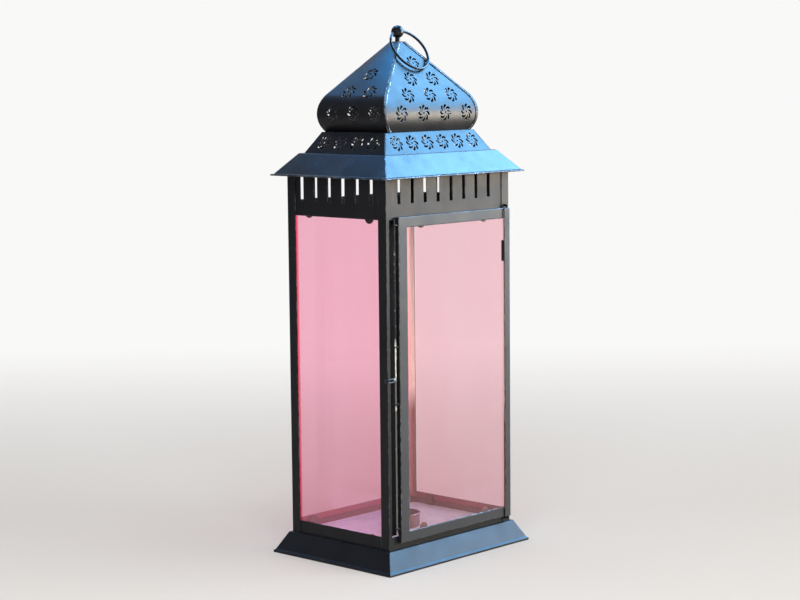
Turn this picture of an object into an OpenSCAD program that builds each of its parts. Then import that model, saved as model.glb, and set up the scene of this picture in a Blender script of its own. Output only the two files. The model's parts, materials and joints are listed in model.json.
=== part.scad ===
// Ramadan fanous: a glazed sheet-steel lantern under a pierced onion dome.
// Millimetres. +Z is up, the door faces -Y, the origin is the middle of the foot.

/* [Body] */
// Width of the glazed body, measured across the door
body_w = 206; // [180:1:250]
// Depth of the glazed body
body_d = 152; // [136:1:190]
// Height of the windows
window_h = 350; // [280:1:420]
// Height of the rail under each window
rail_h = 14.5; // [13:0.5:20]
// Height of the vent panels that shows between windows and eave
vent_h = 44.5; // [38:0.5:60]
// Width of each leg of a corner post
post_leg = 12; // [10:0.5:14]
// Thickness of the steel sheet
sheet_t = 0.8; // [0.6:0.1:1]
// Thickness of the glass in the fixed windows
pane_t = 2.5; // [2:0.1:3]

/* [Vent slots] */
// Width of a slot
slot_w = 4.6; // [4.2:0.1:6]
// Plain band between the slots and the hidden top of the panel
slot_land = 6.7; // [3:0.1:10]
// Distance from one slot to the next
slot_pitch = 21.4; // [16:0.1:26]
// Plain band between the window and the slots
slot_sill = 16.5; // [12:0.5:20]
// How far the front row sits off the middle of the panel
slot_shift = 6.5; // [0:0.5:7]
// Distance from one slot to the next on the back and the right
far_pitch = 23.1; // [20:0.1:26]
// How far the slots on the right sit towards the back
right_shift = 6.8; // [0:0.1:7]

/* [Base] */
// Height of the flared skirt
base_h = 24; // [20:0.5:32]
// How far the skirt flares out at its foot
base_flare = 14; // [8:0.5:20]
// Width of the ledge on top of the skirt
base_ledge = 3; // [2:0.5:6]
// How far the rolled hem stands out from the skirt
hem_w = 2; // [1.2:0.1:3]
// Height of the rolled hem
hem_h = 2.5; // [1.8:0.1:4]
// How far the floor lies below the top of the skirt
floor_drop = 0.4; // [0:0.2:4]
// How far the wall of the floor tray stands above the skirt
tray_rise = 8; // [6:0.5:10]

/* [Door] */
// Height of the door
door_h = 360; // [356:0.5:364]
// How far the door laps over the bottom rail
door_lap = 7; // [4:0.5:8]
// How far the door stands in front of the body
door_depth = 4.7; // [4.4:0.1:7]
// Running gap behind the door
door_gap = 0.5; // [0.3:0.1:1]
// From the body's corner to the free edge of the door
door_margin = 14.5; // [13:0.5:18]
// Width of the stile on the free side
stile_w = 13.2; // [10:0.1:16]
// Width of the rails of the door
door_rail_w = 11.7; // [9:0.1:14]
// Thickness of the door's glass
door_pane_t = 2; // [1.6:0.1:2.4]

/* [Hinge] */
// Width of the rolled hinge stile
hinge_w = 11.2; // [9:0.1:14]
// Outer diameter of the rolled barrel
barrel_d = 6.4; // [5.4:0.1:7]
// Diameter of the hinge wire
pin_d = 2.8; // [2.2:0.1:3]
// Radial running clearance on the hinge wire
pin_fit = 0.08; // [0.04:0.01:0.1]
// From the body's corner to the outer side of the barrel
hinge_margin = 4.1; // [3.6:0.1:6]

/* [Latch] */
// Diameter of the spring wire
latch_d = 1.8; // [1.4:0.1:2]
// How far the loop reaches from the wire's own axis
latch_reach = 12.3; // [11.8:0.1:14]
// Distance between the two strands of the loop
latch_loop = 3.4; // [3:0.1:5]
// Height of the loop above the foot of the door
latch_loop_z = 182; // [150:1:200]
// From the door's free edge to the wire's axis
latch_offset = 4.1; // [3.5:0.1:5]
// Radial running clearance of the wire in its eyes
latch_fit = 0.08; // [0.04:0.01:0.1]

/* [Eave] */
// Height of the eave
eave_h = 25; // [18:0.5:34]
// How far the eave reaches out past the body
eave_out = 12.6; // [8:0.1:18]
// How far the top of the eave is drawn in from the body
eave_in = 9.6; // [6:0.1:14]

/* [Tier] */
// Flat step on top of the eave, round the tier
tier_step = 4.3; // [2:0.1:7]
// Height of the tier
tier_h = 23.5; // [21:0.5:30]
// How far the tier's ends lean in
tier_in_w = 15.1; // [10:0.1:20]
// How far the tier's front and back lean in
tier_in_d = 13.3; // [9:0.1:14]

/* [Dome] */
// Height of the dome from its foot to its cap
dome_h = 99.5; // [90:0.5:115]
// Flat step on top of the tier, at the dome's ends
dome_step_w = 5.8; // [1:0.1:8]
// Flat step on top of the tier, at the dome's front and back
dome_step_d = 0.3; // [0:0.1:3]
// Radius of the swelling of the ends
end_swell_r = 28; // [26:0.5:34]
// Radius of the swelling of the front and back
front_swell_r = 45; // [38:0.5:50]
// Height of the swelling of the ends above the foot
end_swell_z = 21.5; // [19:0.5:24]
// Height of the swelling of the front and back above the foot
front_swell_z = 17.5; // [15:0.5:22]
// Width of the seam flanges down the corners
seam_w = 3; // [2:0.1:4]

/* [Pierced rosettes] */
// Diameter of a rosette
rosette_d = 19.5; // [15:0.1:20]
// Distance between the rosettes of the tier
tier_pitch = 25.2; // [23:0.1:28]
// Distance between the rosettes on the dome's front
front_pitch = 36; // [28:0.5:40]
// Distance between the rosettes on the dome's ends
end_pitch = 32; // [28:0.5:38]
// Distance up the metal between rows on the dome's front
front_rise = 21.3; // [20.4:0.1:23]
// Distance up the metal between rows on the dome's ends
end_rise = 27.5; // [21:0.1:29]
// Height of the lowest row above the dome's foot
first_row_z = 20.5; // [16:0.5:24]
// How far the lowest row sits off the middle of its sheet
row_lean = 4; // [0:0.5:6]

/* [Finial and ring] */
// Diameter of the ball
ball_d = 14.5; // [13:0.1:18]
// Diameter of the cross hole for the ring
ball_hole_d = 6.4; // [6.2:0.1:7]
// Diameter of the collar under the ball
collar_d = 5.8; // [5:0.1:8]
// Height of the collar
collar_h = 4; // [2.5:0.1:5]
// Mean diameter of the ring
ring_d = 52.4; // [46:0.2:58]
// Diameter of the ring's wire
ring_wire_d = 3.2; // [2.6:0.1:3.4]
// How far the ring has slipped sideways in the ball
ring_slip = 4; // [0:0.1:4.4]

/* [Candle cup] */
// Outer diameter of the cup
cup_d = 40.4; // [36:0.2:60]
// Height of the cup
cup_h = 16; // [12:0.5:24]
// Thickness of the cup's wall
cup_t = 0.6; // [0.5:0.1:1]

/* [Hidden] */
$fn = 64;
cut = 1;                    // overrun of every cut
touch_gap = 0.1;            // between curved sheets of the same shell
seat_gap = 0.25;            // between the walls and the sloping roof above

// The stack of heights
rail_top = base_h + rail_h;
window_top = rail_top + window_h;
eave_z = window_top + vent_h;
tier_z = eave_z + eave_h;
dome_z = tier_z + tier_h;
dome_top = dome_z + dome_h;
cap_t = 0.8;
stud_d = 4;
ball_z = dome_top + cap_t + collar_h + sqrt(ball_d * ball_d - stud_d * stud_d) / 2;

// Half sizes of the body and its layers of sheet
half_w = body_w / 2;
half_d = body_d / 2;
layer2 = 2 * sheet_t;

// Roof slopes
eave_run = eave_out + eave_in;
eave_wall = sheet_t * norm([eave_run, eave_h]) / eave_h;
wall_top = eave_z + (eave_out - eave_wall) * eave_h / eave_run - seat_gap;
skirt_slope_h = base_h - hem_h;
skirt_run = base_flare - base_ledge;
skirt_wall = sheet_t * norm([skirt_run, skirt_slope_h]) / skirt_slope_h;
tier_foot_w = half_w - eave_in - tier_step;
tier_foot_d = half_d - eave_in - tier_step;
tier_top_w = tier_foot_w - tier_in_w;
tier_top_d = tier_foot_d - tier_in_d;
roof_flange = 6;            // width of the inner flanges that carry the tier and dome

// Windows, glass and its clips
pane_lap = 5;
clip_w = 13;
clip_reach = 5;
clip_inset = 17.5;          // from the edge of the window to the middle of a clip
clip_air = 0.2;             // between the glass and the metal that holds it
slot_margin = 8;

// Door
door_z = rail_top - door_lap;
door_back = -half_d - door_gap;
door_front = door_back - door_depth;
door_x0 = -half_w + door_margin;
barrel_x = half_w - hinge_margin - barrel_d / 2;
barrel_y = door_back - barrel_d / 2;
hinge_x0 = half_w - hinge_margin - hinge_w;
jamb_w = 4.7;               // what is left of the post's leg beside the door
jamb_depth = 5.2;           // how far the stop lies behind the post's leg
stop_w = 18.2;              // width of the stop across the opening
door_clip_w = 13;
door_clip_inset = 26.5;
door_clip_top = 2.2;        // how far the upper clips show past the rail
door_clip_foot = 5;         // how far the lower clips show past the rail
door_pane_side = 0.5;       // play round the door's glass
pin_overrun = 1.4;          // from the end of the barrel to the bend of the wire

// Latch
latch_x = door_x0 - latch_offset;
latch_y = -half_d - 2.2 * latch_d / 1.8;
latch_end = 2;              // from the ends of the door to the ends of the wire
eye_t = 1;
eye_wall = 1.1;
eye_inset = 7;              // from the wire's end to its outer eye
eye_span_up = 36;           // from the loop to the eye above it
eye_span_down = 27;         // from the loop to the eye below it
latch_hook = 3.7;           // how far the tip of the loop turns round the corner
knuckle_share = 1.04;       // a bend is a little thicker than its wire
cross_share = 0.57;         // half the distance of the two strands where they cross

// Candle cup
floor_z = base_h - floor_drop;
rivet_d = 4;
rivet_head_d = 7;
rivet_head_h = 1.4;
cup_rim_d = 1.8;

// Dome curves: half width, height of the swelling, its radius, half width of the cap
cap_half_w = 7;
cap_half_d = 6;
cap_rim = 0.2;
dome_foot_w = tier_top_w - dome_step_w;
dome_foot_d = tier_top_d - dome_step_d;
front_curve = [dome_foot_d + swelling(front_swell_r, front_swell_z), front_swell_z, front_swell_r, cap_half_d];
end_curve = [dome_foot_w + swelling(end_swell_r, end_swell_z), end_swell_z, end_swell_r, cap_half_w];

// Rosettes: eight swirling drops round a dot, drawn as shares of the radius
petal_count = 8;
petal_swirl = 30;
head_r_share = 0.145;
head_at_share = 0.84;
tail_at_share = 0.34;
dot_share = 0.11;
petal_width_shares = [0, 0.06, 0.12];
rosette_cut = 4;            // half depth of the punch, past the curve of the metal

// Finial
nut_af = 7;
nut_h = 3.2;
stud_grip = 3;              // how far the stud enters the ball

// The ring: its wire runs through the middle of the ball's cross hole
ring_r = ring_d / 2;
hole_end = sqrt(ball_d * ball_d - ball_hole_d * ball_hole_d) / 2;
ring_drop = (ring_r + sqrt(ring_r * ring_r - pow(hole_end + ring_slip, 2))) / 2;
front_slope = slope_angle(front_curve);
// From the front slope, square to it, to the middle of the ball
ball_off = (ball_z - dome_top) * sin(front_slope) - cap_half_d * cos(front_slope);
ring_air = 2 * sheet_t + seat_gap;
ring_lean = 90 - front_slope - asin((ring_wire_d / 2 + ring_air - ball_off) / (ring_drop + ring_r));

black = [0.09, 0.09, 0.10];
bare = [0.62, 0.62, 0.64];
rose = [0.90, 0.55, 0.66, 0.45];

// Solids drawn by their outline: along X from (y, z), along Y from (x, z)
module along_x(len) { rotate([90, 0, 90]) linear_extrude(len, center = true) children(); }
module along_y(len) { rotate([90, 0, 0]) linear_extrude(len, center = true) children(); }
module box(lo, hi) { translate(lo) cube(hi - lo); }
// A piece drawn at the front, turned to face another side: 1 right, 2 back, 3 left
module facing(side) { rotate([0, 0, 90 * side]) children(); }

// A straight-sided outline, half width a at height za and b at zb, drawn on past both
module taper(a, b, za, zb, over) {
    lean = (b - a) / (zb - za);
    lo = a - lean * over;
    hi = b + lean * over;
    polygon([[-lo, za - over], [lo, za - over], [hi, zb + over], [-hi, zb + over]]);
}
// A four-sided sloping block; inset is taken off each half width
module hip(wa, wb, da, db, za, zb, inset, over) {
    intersection() {
        along_x(2 * (max(wa, wb) + cut)) taper(da - inset, db - inset, za, zb, over);
        along_y(2 * (max(da, db) + cut)) taper(wa - inset, wb - inset, za, zb, over);
    }
}
module hip_shell(wa, wb, da, db, za, zb, wall) {
    difference() {
        hip(wa, wb, da, db, za, zb, 0, 0);
        hip(wa, wb, da, db, za, zb, wall, cut);
    }
}
// A flat rectangular ring, from half sizes inner to outer
module rect_ring(inner, outer, z0, h) {
    translate([0, 0, z0]) linear_extrude(h) difference() {
        square(2 * outer, center = true);
        square(2 * inner, center = true);
    }
}

// Base
module base_skirt() {
    foot = [half_w + base_flare, half_d + base_flare];
    top = [half_w + base_ledge, half_d + base_ledge];
    inner = [half_w - layer2, half_d - layer2];
    color(black) union() {
        hip_shell(foot.x, top.x, foot.y, top.y, hem_h, base_h, skirt_wall);
        rect_ring(foot - [hem_w, hem_w], foot + [hem_w, hem_w], 0, hem_h);
        rect_ring(inner, top - [sheet_t, sheet_t], base_h - sheet_t, sheet_t);
    }
}
module floor_tray() {
    outer = [half_w - layer2, half_d - layer2];
    inner = outer - [sheet_t, sheet_t];
    color(black) difference() {
        box([-outer.x, -outer.y, floor_z], [outer.x, outer.y, base_h + tray_rise]);
        box([-inner.x, -inner.y, floor_z + sheet_t], [inner.x, inner.y, base_h + tray_rise + cut]);
        translate([0, 0, floor_z - cut]) cylinder(d = rivet_d + touch_gap, h = sheet_t + 2 * cut);
    }
}

// Corner posts, drawn at the front left
module post() {
    translate([-half_w, -half_d, base_h]) linear_extrude(wall_top - base_h) difference() {
        square(post_leg);
        translate([sheet_t, sheet_t]) square(post_leg);
    }
}
module post_front_left() {
    color(black) difference() {
        post();
        box([-half_w + jamb_w, -half_d - cut, rail_top],
            [-half_w + post_leg + cut, -half_d + sheet_t + cut, window_top]);
    }
}
module post_front_right() {
    color(black) difference() {
        mirror([1, 0, 0]) post();
        hinge_wire_bends(pin_d + 2 * pin_fit);
    }
}
module post_back_left() { color(black) mirror([0, 1, 0]) post(); }
module post_back_right() { color(black) mirror([1, 0, 0]) mirror([0, 1, 0]) post(); }

// Rails and vent panels lie behind the legs of the posts
function run_of(side) = side % 2 == 0 ? half_w : half_d;
function face_of(side) = side % 2 == 0 ? half_d : half_w;
function sheet_half(side) = side % 2 == 0 ? half_w - layer2 - clip_air : half_d - sheet_t;
module sheet(side, z0, z1) {
    half = sheet_half(side);
    face = face_of(side) - sheet_t;
    box([-half, -face, z0], [half, -face + sheet_t, z1]);
}
module rail(side) {
    color(black) facing(side) sheet(side, base_h, rail_top);
}
module vent(side) {
    open = 2 * (run_of(side) - post_leg - slot_margin) - slot_w;
    pitch = [slot_pitch, far_pitch, far_pitch, slot_pitch][side];
    count = floor(open / pitch) + 1;
    shift = [-slot_shift, right_shift, 0, 0][side];
    slot_z = window_top + slot_sill;
    color(black) facing(side) difference() {
        sheet(side, window_top, wall_top);
        for (i = [0 : count - 1])
            translate([shift + (i - (count - 1) / 2) * pitch, -face_of(side) + layer2 / 2, slot_z])
                translate([-slot_w / 2, -sheet_t, 0])
                    cube([slot_w, 2 * sheet_t + cut, wall_top - slot_land - slot_z]);
    }
}
module rail_front() { rail(0); }
module rail_right() { rail(1); }
module rail_back() { rail(2); }
module rail_left() { rail(3); }
module vent_front() { vent(0); }
module vent_right() { vent(1); }
module vent_back() { vent(2); }
module vent_left() { vent(3); }

// Fixed glass stands on the wall of the floor tray
module pane(side) {
    half = run_of(side) - post_leg + pane_lap;
    face = face_of(side) - layer2;
    color(rose) facing(side)
        box([-half, -face, base_h + tray_rise], [half, -face + pane_t, window_top + pane_lap]);
}
module pane_right() { pane(1); }
module pane_back() { pane(2); }
module pane_left() { pane(3); }

// Clips fold round the glass and end in a half round: one over its head, two at its foot behind the rail
module clip_tongue(face, z_root, z_tip) {
    up = z_tip > z_root ? 1 : -1;
    r = clip_w / 2;
    translate([0, -face, 0]) along_y(sheet_t) {
        translate([0, z_tip - up * r]) circle(r);
        translate([-r, min(z_root, z_tip - up * r)]) square([clip_w, abs(z_tip - up * r - z_root)]);
    }
}
module clips(side) {
    outer = face_of(side) - layer2;
    tongue = outer - pane_t - clip_air - sheet_t / 2;
    top_z = window_top + pane_lap + clip_air;
    foot_z = base_h + tray_rise / 2;
    at = run_of(side) - post_leg - clip_inset;
    color(black) facing(side) {
        translate([at, 0, 0]) {
            clip_tongue(tongue, top_z + sheet_t, window_top - clip_reach);
            box([-clip_w / 2, -outer, top_z], [clip_w / 2, -tongue + sheet_t / 2, top_z + sheet_t]);
        }
        for (x = [-at, at]) translate([x, 0, 0]) {
            clip_tongue(tongue, foot_z, rail_top);
            box([-clip_w / 2, -outer + sheet_t, foot_z], [clip_w / 2, -tongue + sheet_t / 2, foot_z + sheet_t]);
        }
    }
}
module clips_right() { clips(1); }
module clips_back() { clips(2); }
module clips_left() { clips(3); }

// Angle strip inside the front left corner, which the door closes against
module door_stop() {
    x0 = -half_w + sheet_t;
    y0 = -half_d + sheet_t;
    color(black) {
        box([x0, y0, rail_top + clip_air], [x0 + sheet_t, y0 + jamb_depth, window_top - clip_air]);
        box([x0, y0 + jamb_depth - sheet_t, rail_top + clip_air],
            [x0 + stop_w, y0 + jamb_depth, window_top - clip_air]);
    }
}

// Door
module door_frame() {
    z1 = door_z + door_h;
    color(black) difference() {
        box([door_x0, door_front, door_z], [hinge_x0, door_back, z1]);
        box([door_x0 + sheet_t, door_front + sheet_t, door_z + sheet_t],
            [hinge_x0 + cut, door_back + cut, z1 - sheet_t]);
        box([door_x0 + stile_w, door_front - cut, door_z + door_rail_w],
            [hinge_x0 + cut, door_back, z1 - door_rail_w]);
    }
}
module door_hinge_stile() {
    color(black) difference() {
        translate([0, 0, door_z]) linear_extrude(door_h) difference() {
            union() {
                translate([hinge_x0, door_front]) square([barrel_x - hinge_x0 - pin_d / 2, sheet_t]);
                translate([barrel_x - barrel_d / 2, door_front])
                    square([sheet_t, barrel_y - door_front]);
                translate([barrel_x, barrel_y]) circle(d = barrel_d);
            }
            translate([barrel_x, barrel_y]) circle(d = pin_d + 2 * pin_fit);
        }
    }
}
module door_pane() {
    play = sheet_t + door_pane_side;
    y0 = door_front + sheet_t + clip_air / 2;
    color(rose) box([door_x0 + play, y0, door_z + play],
        [barrel_x - barrel_d / 2 - door_pane_side, y0 + door_pane_t, door_z + door_h - play]);
}
module door_clips() {
    tongue = -(door_front + sheet_t + door_pane_t + clip_air + sheet_t / 2);
    open_x0 = door_x0 + stile_w;
    z_in = door_z + door_rail_w;
    z_out = door_z + door_h - door_rail_w;
    color(black) for (x = [open_x0 + door_clip_inset, hinge_x0 - door_clip_inset - jamb_w])
        translate([x, 0, 0]) {
            clip_tongue(tongue, door_z + door_h - sheet_t, z_out - door_clip_top);
            clip_tongue(tongue, door_z + sheet_t, z_in + door_clip_foot);
        }
}

// Hinge wire: straight through the barrel, both ends bent back into the post
module hinge_wire_bends(d) {
    rise = pin_overrun + pin_d / 2 - clip_air;
    for (z = [door_z - rise, door_z + door_h + rise])
        translate([barrel_x, barrel_y, z]) rotate([-90, 0, 0])
            cylinder(d = d, h = -half_d + sheet_t - barrel_y);
}
module hinge_wire() {
    rise = pin_overrun + pin_d / 2 - clip_air;
    color(bare) {
        translate([barrel_x, barrel_y, door_z - rise]) cylinder(d = pin_d, h = door_h + 2 * rise);
        hinge_wire_bends(pin_d);
        for (z = [door_z - rise, door_z + door_h + rise])
            translate([barrel_x, barrel_y, z]) sphere(d = pin_d * knuckle_share);
    }
}

// Latch: one long wire down the free edge, with a crossed loop that hooks the corner
module wire_bar(a, b, d) {
    v = b - a;
    translate(a) rotate([0, acos(v.z / norm(v)), atan2(v.y, v.x)]) cylinder(d = d, h = norm(v));
}
module wire_path(points, d) {
    for (i = [0 : len(points) - 2]) wire_bar(points[i], points[i + 1], d);
    for (i = [1 : len(points) - 2]) translate(points[i]) sphere(d = d * knuckle_share);
}
// One strand of the loop, from the upright to the tip; the other is its twin turned over
function strand(s) = let (cross = cross_share * latch_d, z = s * latch_loop / 2) [
    [0, 0, -s * 3 * latch_d],
    [0, 0, -s * latch_d],
    [-cross, -s * cross, 0],
    [-latch_d - cross, 0, z],
    [-latch_reach, 0, z],
    [-latch_reach, latch_hook, z]];
module latch_wire() {
    up = strand(-1);
    down = strand(1);
    loop = concat(up, [for (i = [len(down) - 1 : -1 : 0]) down[i]]);
    loop_z = door_z + latch_loop_z;
    z0 = door_z + door_lap + latch_end;
    z1 = door_z + door_h - latch_end;
    color(bare) translate([latch_x, latch_y, 0]) {
        translate([0, 0, loop_z]) wire_path(loop, latch_d);
        translate([0, 0, z0]) cylinder(d = latch_d, h = loop_z + down[0].z - z0);
        translate([0, 0, loop_z + up[0].z]) cylinder(d = latch_d, h = z1 - loop_z - up[0].z);
        for (s = [up[0].z, down[0].z]) translate([0, 0, loop_z + s]) sphere(d = latch_d * knuckle_share);
    }
}
module latch_eyes() {
    r = latch_d / 2 + latch_fit;
    loop_z = door_z + latch_loop_z;
    at = [door_z + door_lap + latch_end + eye_inset, loop_z - eye_span_down,
        loop_z + eye_span_up, door_z + door_h - latch_end - eye_inset];
    color(black) for (z = at) translate([0, 0, z]) linear_extrude(eye_t) difference() {
        union() {
            translate([latch_x, latch_y]) circle(r + eye_wall);
            translate([latch_x, latch_y - r - eye_wall]) square([door_x0 - latch_x, 2 * (r + eye_wall)]);
        }
        translate([latch_x, latch_y]) circle(r);
    }
}

// Eave
module eave() {
    foot = [half_w + eave_out, half_d + eave_out];
    top = [half_w - eave_in, half_d - eave_in];
    flange = [tier_foot_w, tier_foot_d] - [roof_flange, roof_flange];
    lip = hem_w / 2;
    color(black) union() {
        hip_shell(foot.x, top.x, foot.y, top.y, eave_z, tier_z, eave_wall);
        rect_ring(foot - [eave_wall, eave_wall], foot + [lip, lip], eave_z, lip + sheet_t);
        rect_ring(flange, top - [sheet_t, sheet_t] / 2, tier_z - sheet_t, sheet_t);
    }
}

// Pierced work
module petal(r) {
    head = r * head_at_share;
    tail = r * tail_at_share;
    steps = len(petal_width_shares);
    spine = [for (i = [0 : steps]) let (u = i / steps)
        (tail + (head - tail) * u) * [cos(-petal_swirl * u * u), sin(-petal_swirl * u * u)]];
    width = [for (w = petal_width_shares) r * w];
    side = [for (i = [1 : steps - 1]) let (v = spine[i + 1] - spine[i - 1], n = [-v.y, v.x] / norm(v))
        [spine[i] + n * width[i], spine[i] - n * width[i]]];
    tip = spine[steps];
    v = tip - spine[steps - 1];
    n = [-v.y, v.x] / norm(v) * r * head_r_share * 0.98;
    polygon(concat([spine[0]], [for (s = side) s[1]], [tip - n, tip + n],
        [for (i = [len(side) - 1 : -1 : 0]) side[i][0]]));
    translate(tip) circle(r * head_r_share, $fn = 24);
}
module rosette() {
    r = rosette_d / 2;
    for (i = [0 : petal_count - 1]) rotate(360 / petal_count * (i + 0.5)) petal(r);
    circle(r * dot_share, $fn = 24);
}
// A row of rosettes on a face that leans back by phi, its middle at depth y and height z
module rosette_row(count, pitch, shift, y, z, phi) {
    for (i = [0 : count - 1])
        translate([shift + (i - (count - 1) / 2) * pitch, -y, z]) rotate([90 - phi, 0, 0])
            linear_extrude(2 * rosette_cut, center = true) rosette();
}

// Tier: four leaning sheets, the ends lapping the front and back
module tier_outline(foot, top, inset) {
    taper(foot - inset, top - inset, tier_z, dome_z, 0);
}
module tier_band(foot, top, wall) {
    difference() {
        tier_outline(foot, top, 0);
        taper(foot - wall, top - wall, tier_z, dome_z, cut);
    }
}
module tier_sheet(side) {
    ends = side % 2;
    foot = ends ? [tier_foot_d, tier_foot_w] : [tier_foot_w, tier_foot_d];
    top = ends ? [tier_top_d, tier_top_w] : [tier_top_w, tier_top_d];
    lean = (foot.y - top.y) / tier_h;
    wall = sheet_t * norm([lean, 1]);
    lean_x = (foot.x - top.x) / tier_h;
    wall_x = ends ? 0 : sheet_t * norm([lean_x, 1]) + touch_gap;
    mid = [(foot.x + top.x) / 2, (foot.y + top.y) / 2];
    count = floor(2 * mid.x / tier_pitch);
    color(black) facing(side) difference() {
        intersection() {
            along_x(body_w) tier_band(foot.y, top.y, wall);
            along_y(body_w) tier_outline(foot.x, top.x, wall_x);
            box([-half_w, -half_w, tier_z], [half_w, 0, dome_z]);
        }
        rosette_row(count, tier_pitch, 0, mid.y, (tier_z + dome_z) / 2, atan(lean));
    }
}
module tier_front() { tier_sheet(0); }
module tier_right() { tier_sheet(1); }
module tier_back() { tier_sheet(2); }
module tier_left() { tier_sheet(3); }
module tier_deck() {
    outer = [tier_top_w - sheet_t * norm([tier_in_w, tier_h]) / tier_h,
        tier_top_d - sheet_t * norm([tier_in_d, tier_h]) / tier_h];
    inner = [dome_foot_w - roof_flange, dome_foot_d - roof_flange];
    color(black) rect_ring(inner, outer, dome_z - sheet_t, sheet_t);
}

// How far an arc of radius r swells out over a foot that lies z below its middle
function swelling(r, z) = r - sqrt(r * r - z * z);

// Dome: an arc for the swelling and a straight slope that touches it and runs to the cap
function swell_x(c) = c[0] - c[2];
function slope_angle(c) = let (v = [c[3] - swell_x(c), dome_h - c[1]])
    atan2(v.y, v.x) - acos(c[2] / norm(v));
module dome_half(c, off, over) {
    r = c[2] + off;
    middle = [swell_x(c), c[1]];
    a = slope_angle(c);
    touch = middle + r * [cos(a), sin(a)];
    top_x = touch.x - (dome_h + over - touch.y) * tan(a);
    translate([0, dome_z]) intersection() {
        union() {
            translate(middle) circle(r, $fn = 128);
            polygon([[0, -over], [middle.x, -over], middle, touch, [top_x, dome_h + over], [0, dome_h + over]]);
        }
        translate([0, -over]) square([body_w, dome_h + 2 * over]);
    }
}
// The same outline in short chords, which trims the neighbouring sheets
function chords(c, off) = let (r = c[2] + off, m = [swell_x(c), c[1]], a1 = slope_angle(c),
    a0 = -asin((c[1] + cut) / (c[2] - sheet_t - touch_gap)), n = 24)
    [for (i = [0 : n]) let (a = a0 + (a1 - a0) * i / n) m + r * [cos(a), sin(a)]];
function trim_points(c, off) = let (arc = chords(c, off), touch = arc[len(arc) - 1], over = cut)
    concat(arc, [[touch.x - (dome_h + over - touch.y) * tan(slope_angle(c)), dome_h + over]]);
module dome_outline(c, off) {
    right = trim_points(c, off);
    last = len(right) - 1;
    translate([0, dome_z]) polygon(concat(right, [for (i = [0 : last]) [-right[last - i].x, right[last - i].y]]));
}
module trim_band(c, lo, hi) {
    outer = trim_points(c, hi);
    inner = trim_points(c, lo);
    last = len(outer) - 1;
    translate([0, dome_z]) mirror([1, 0]) polygon(concat(outer, [for (i = [0 : last]) inner[last - i]]));
}
// The band of metal on one side of the outline, from offset lo to hi
module dome_band(c, lo, hi, over) {
    mirror([1, 0]) difference() {
        dome_half(c, hi, over);
        dome_half(c, lo, 2 * over + cut);
    }
}
// Place up the metal: s is measured from the swelling's widest line
function on_dome(c, s) = let (a = slope_angle(c), turn = s / c[2] * 180 / PI, m = [swell_x(c), c[1]])
    turn < a ? [m.x + c[2] * cos(turn), m.y + c[2] * sin(turn), turn]
    : let (t = s - c[2] * a * PI / 180)
        [m.x + c[2] * cos(a) - t * sin(a), m.y + c[2] * sin(a) + t * cos(a), a];
function half_at(c, z) = let (a = slope_angle(c), tz = c[1] + c[2] * sin(a), m = swell_x(c))
    z < tz ? m + sqrt(c[2] * c[2] - (z - c[1]) * (z - c[1]))
    : m + c[2] * cos(a) - (z - tz) * tan(a);
module dome_rosettes(own, other, pitch, rise) {
    first = asin((first_row_z - own[1]) / own[2]) * own[2] * PI / 180;
    slope_len = (dome_h - own[1]) / cos(slope_angle(own));
    rows = ceil(slope_len / rise);
    for (k = [0 : rows - 1]) {
        p = on_dome(own, first + k * rise);
        count = floor(2 * half_at(other, p.y) / pitch);
        if (count > 0 && p.y + rosette_d / 2 < dome_h - rosette_d / 2)
            rosette_row(count, pitch, row_lean * (1 - k / rows), p.x, dome_z + p.y, p.z);
    }
}
module dome_sheet(side) {
    ends = side % 2;
    own = ends ? end_curve : front_curve;
    other = ends ? front_curve : end_curve;
    color(black) facing(side) difference() {
        union() {
            intersection() {
                along_x(body_w) dome_band(own, -sheet_t, 0, 0);
                along_y(body_w) dome_outline(other, ends ? sheet_t : -sheet_t - touch_gap);
            }
            if (ends) for (flip = [0, 1]) mirror([flip, 0, 0]) seam_flange(own, other);
        }
        dome_rosettes(own, other, ends ? end_pitch : front_pitch, ends ? end_rise : front_rise);
    }
}
// The end sheets turn round the corner and lap the front and back
module seam_flange(own, other) {
    intersection() {
        along_x(body_w) dome_band(own, -sheet_t - seam_w, -sheet_t / 2, 0);
        along_y(body_w) trim_band(other, touch_gap, sheet_t);
    }
}
module dome_front() { dome_sheet(0); }
module dome_right() { dome_sheet(1); }
module dome_back() { dome_sheet(2); }
module dome_left() { dome_sheet(3); }

// Cap, finial and ring
module dome_cap() {
    half = [cap_half_w + cap_rim, cap_half_d + cap_rim];
    color(black) translate([0, 0, dome_top]) linear_extrude(cap_t) difference() {
        square(2 * half, center = true);
        circle(d = stud_d + clip_air);
    }
}
module finial_nut() {
    color(bare) translate([0, 0, dome_top - nut_h]) linear_extrude(nut_h) difference() {
        circle(d = nut_af / cos(30), $fn = 6);
        circle(d = stud_d + touch_gap);
    }
}
module finial_stud() {
    foot = dome_top - nut_h - cap_t;
    color(black) {
        translate([0, 0, foot]) cylinder(d = stud_d, h = ball_z - ball_d / 2 + stud_grip - foot);
        translate([0, 0, dome_top + cap_t]) cylinder(d = collar_d, h = collar_h);
    }
}
module finial_ball() {
    color(black) translate([0, 0, ball_z]) difference() {
        sphere(d = ball_d);
        rotate([0, 90, 0]) cylinder(d = ball_hole_d, h = ball_d + 2 * cut, center = true);
        translate([0, 0, -ball_d / 2]) cylinder(d = stud_d + touch_gap, h = stud_grip + clip_air);
    }
}
// The ring leans on the dome's front seams: its angle below level follows from the slope
module ring_handle() {
    color(black) translate([0, 0, ball_z]) rotate([ring_lean, 0, 0]) translate([ring_slip, -ring_drop, 0])
        rotate_extrude($fn = 96) translate([ring_d / 2, 0]) circle(d = ring_wire_d, $fn = 32);
}

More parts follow.
